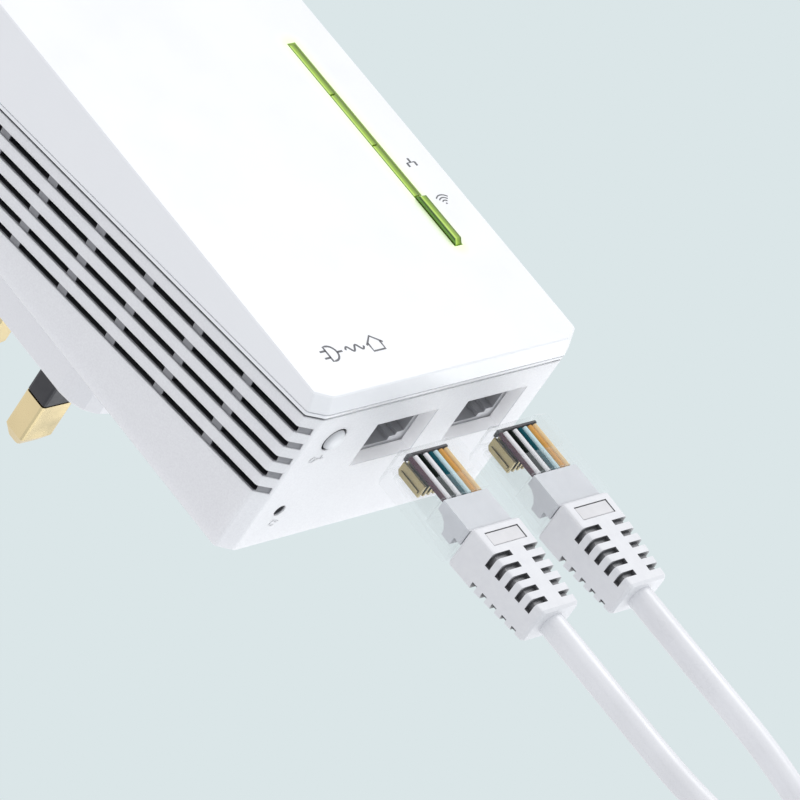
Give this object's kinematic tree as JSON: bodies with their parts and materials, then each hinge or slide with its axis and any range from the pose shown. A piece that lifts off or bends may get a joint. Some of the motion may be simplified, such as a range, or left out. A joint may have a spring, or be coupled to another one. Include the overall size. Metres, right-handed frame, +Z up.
{
  "type": "powerline adapter",
  "caption": "Wall-plug powerline network adapter with side vents, light-pipe button, lower ports and patch leads lined up to plug in.",
  "frame": {"origin": "on the plug base's face that meets the wall socket, midway between the earth pin and the live and neutral pins", "axes": "+Y into the wall along the mains pins, +Z up along the adapter's length away from its ports, front faces -Y"},
  "size_m": [0.0611, 0.0645, 0.2813],
  "materials": {
    "white_gloss": "gloss white moulding",
    "white_satin": "fine spark-eroded satin white",
    "green_lens": "translucent green light pipe",
    "black_plastic": "black moulding",
    "grey_plastic": "grey moulding",
    "brass": "machined brass",
    "steel": "zinc plated",
    "board": "green solder mask",
    "sheet": "thin insulating film",
    "gold": "gold flash",
    "copper": "enamelled copper wire",
    "aluminium": "sleeved or stamped aluminium",
    "ferrite": "ground ferrite",
    "yellow_tape": "polyester tape",
    "clear_plastic": "clear moulded polycarbonate",
    "wire": "coloured wire insulation",
    "light_insert": "light grey moulding",
    "boot": "matt moulded boot",
    "cord_jacket": "smooth white jacket"
  },
  "bodies": {
    "adapter": {"front_cover": "white_gloss", "rear_housing": "white_satin", "plug_base": "white_satin", "live_pin": "brass", "neutral_pin": "brass", "earth_pin": "brass", "live_pin_sleeve": "black_plastic", "neutral_pin_sleeve": "black_plastic", "jack_left": "grey_plastic", "jack_right": "grey_plastic", "main_board": "board", "power_board": "board", "button_board": "board", "insulation_sheet": "sheet", "jack_contacts_left": "gold", "jack_contacts_right": "gold", "ethernet_light": "green_lens", "powerline_light": "green_lens", "power_light": "green_lens", "wifi_switch": "black_plastic", "pair_switch": "black_plastic", "reset_switch": "black_plastic", "processor": "black_plastic", "mains_fuse": "black_plastic", "coupling_transformer": "yellow_tape", "transformer_core": "ferrite", "transformer_winding": "copper", "reservoir_capacitor": "aluminium", "mains_choke": "copper", "antenna_left": "aluminium", "antenna_right": "aluminium", "housing_screw_lower_left": "steel", "housing_screw_lower_right": "steel", "housing_screw_upper_left": "steel", "housing_screw_upper_right": "steel"},
    "wifi_button": {"wifi_button": "green_lens", "wifi_switch_plunger": "grey_plastic"},
    "pair_button": {"pair_button": "white_gloss", "pair_switch_plunger": "grey_plastic"},
    "reset_plunger": {"reset_switch_plunger": "grey_plastic"},
    "left_lead": {"left_plug": "clear_plastic", "left_plug_contacts": "gold", "left_plug_wires": "wire", "left_plug_insert": "light_insert", "left_plug_boot": "boot", "left_cord": "cord_jacket", "left_cord_coil": "cord_jacket", "left_far_boot": "boot", "left_far_plug": "clear_plastic"},
    "left_latch": {"left_plug_latch": "clear_plastic"},
    "right_lead": {"right_plug": "clear_plastic", "right_plug_contacts": "gold", "right_plug_wires": "wire", "right_plug_insert": "light_insert", "right_plug_boot": "boot", "right_cord": "cord_jacket", "right_cord_coil": "cord_jacket", "right_far_boot": "boot", "right_far_plug": "clear_plastic"},
    "right_latch": {"right_plug_latch": "clear_plastic"}
  },
  "joints": [
    {"name": "wifi_button_press", "type": "slide", "parent": "adapter", "child": "wifi_button", "axis": [0, 1, 0], "range_m": [0, 0.0004], "stiffness_N_per_m": 600},
    {"name": "pair_button_press", "type": "slide", "parent": "adapter", "child": "pair_button", "axis": [0, 0, 1], "range_m": [0, 0.0005], "stiffness_N_per_m": 600},
    {"name": "reset_plunger_press", "type": "slide", "parent": "adapter", "child": "reset_plunger", "axis": [0, 0, 1], "range_m": [0, 0.0004], "stiffness_N_per_m": 600},
    {"name": "left_plug_insert_slide", "type": "slide", "parent": "adapter", "child": "left_lead", "axis": [0, 0, 1], "range_m": [0, 0.016]},
    {"name": "left_latch_squeeze", "type": "hinge", "parent": "left_lead", "child": "left_latch", "pos_m": [-0.0044, -0.02605, -0.0603], "axis": [1, 0, 0], "range_deg": [-6, 0], "stiffness_Nm_per_rad": 0.02},
    {"name": "right_plug_insert_slide", "type": "slide", "parent": "adapter", "child": "right_lead", "axis": [0, 0, 1], "range_m": [0, 0.016]},
    {"name": "right_latch_squeeze", "type": "hinge", "parent": "right_lead", "child": "right_latch", "pos_m": [0.01425, -0.02605, -0.0603], "axis": [1, 0, 0], "range_deg": [-6, 0], "stiffness_Nm_per_rad": 0.02}
  ]
}
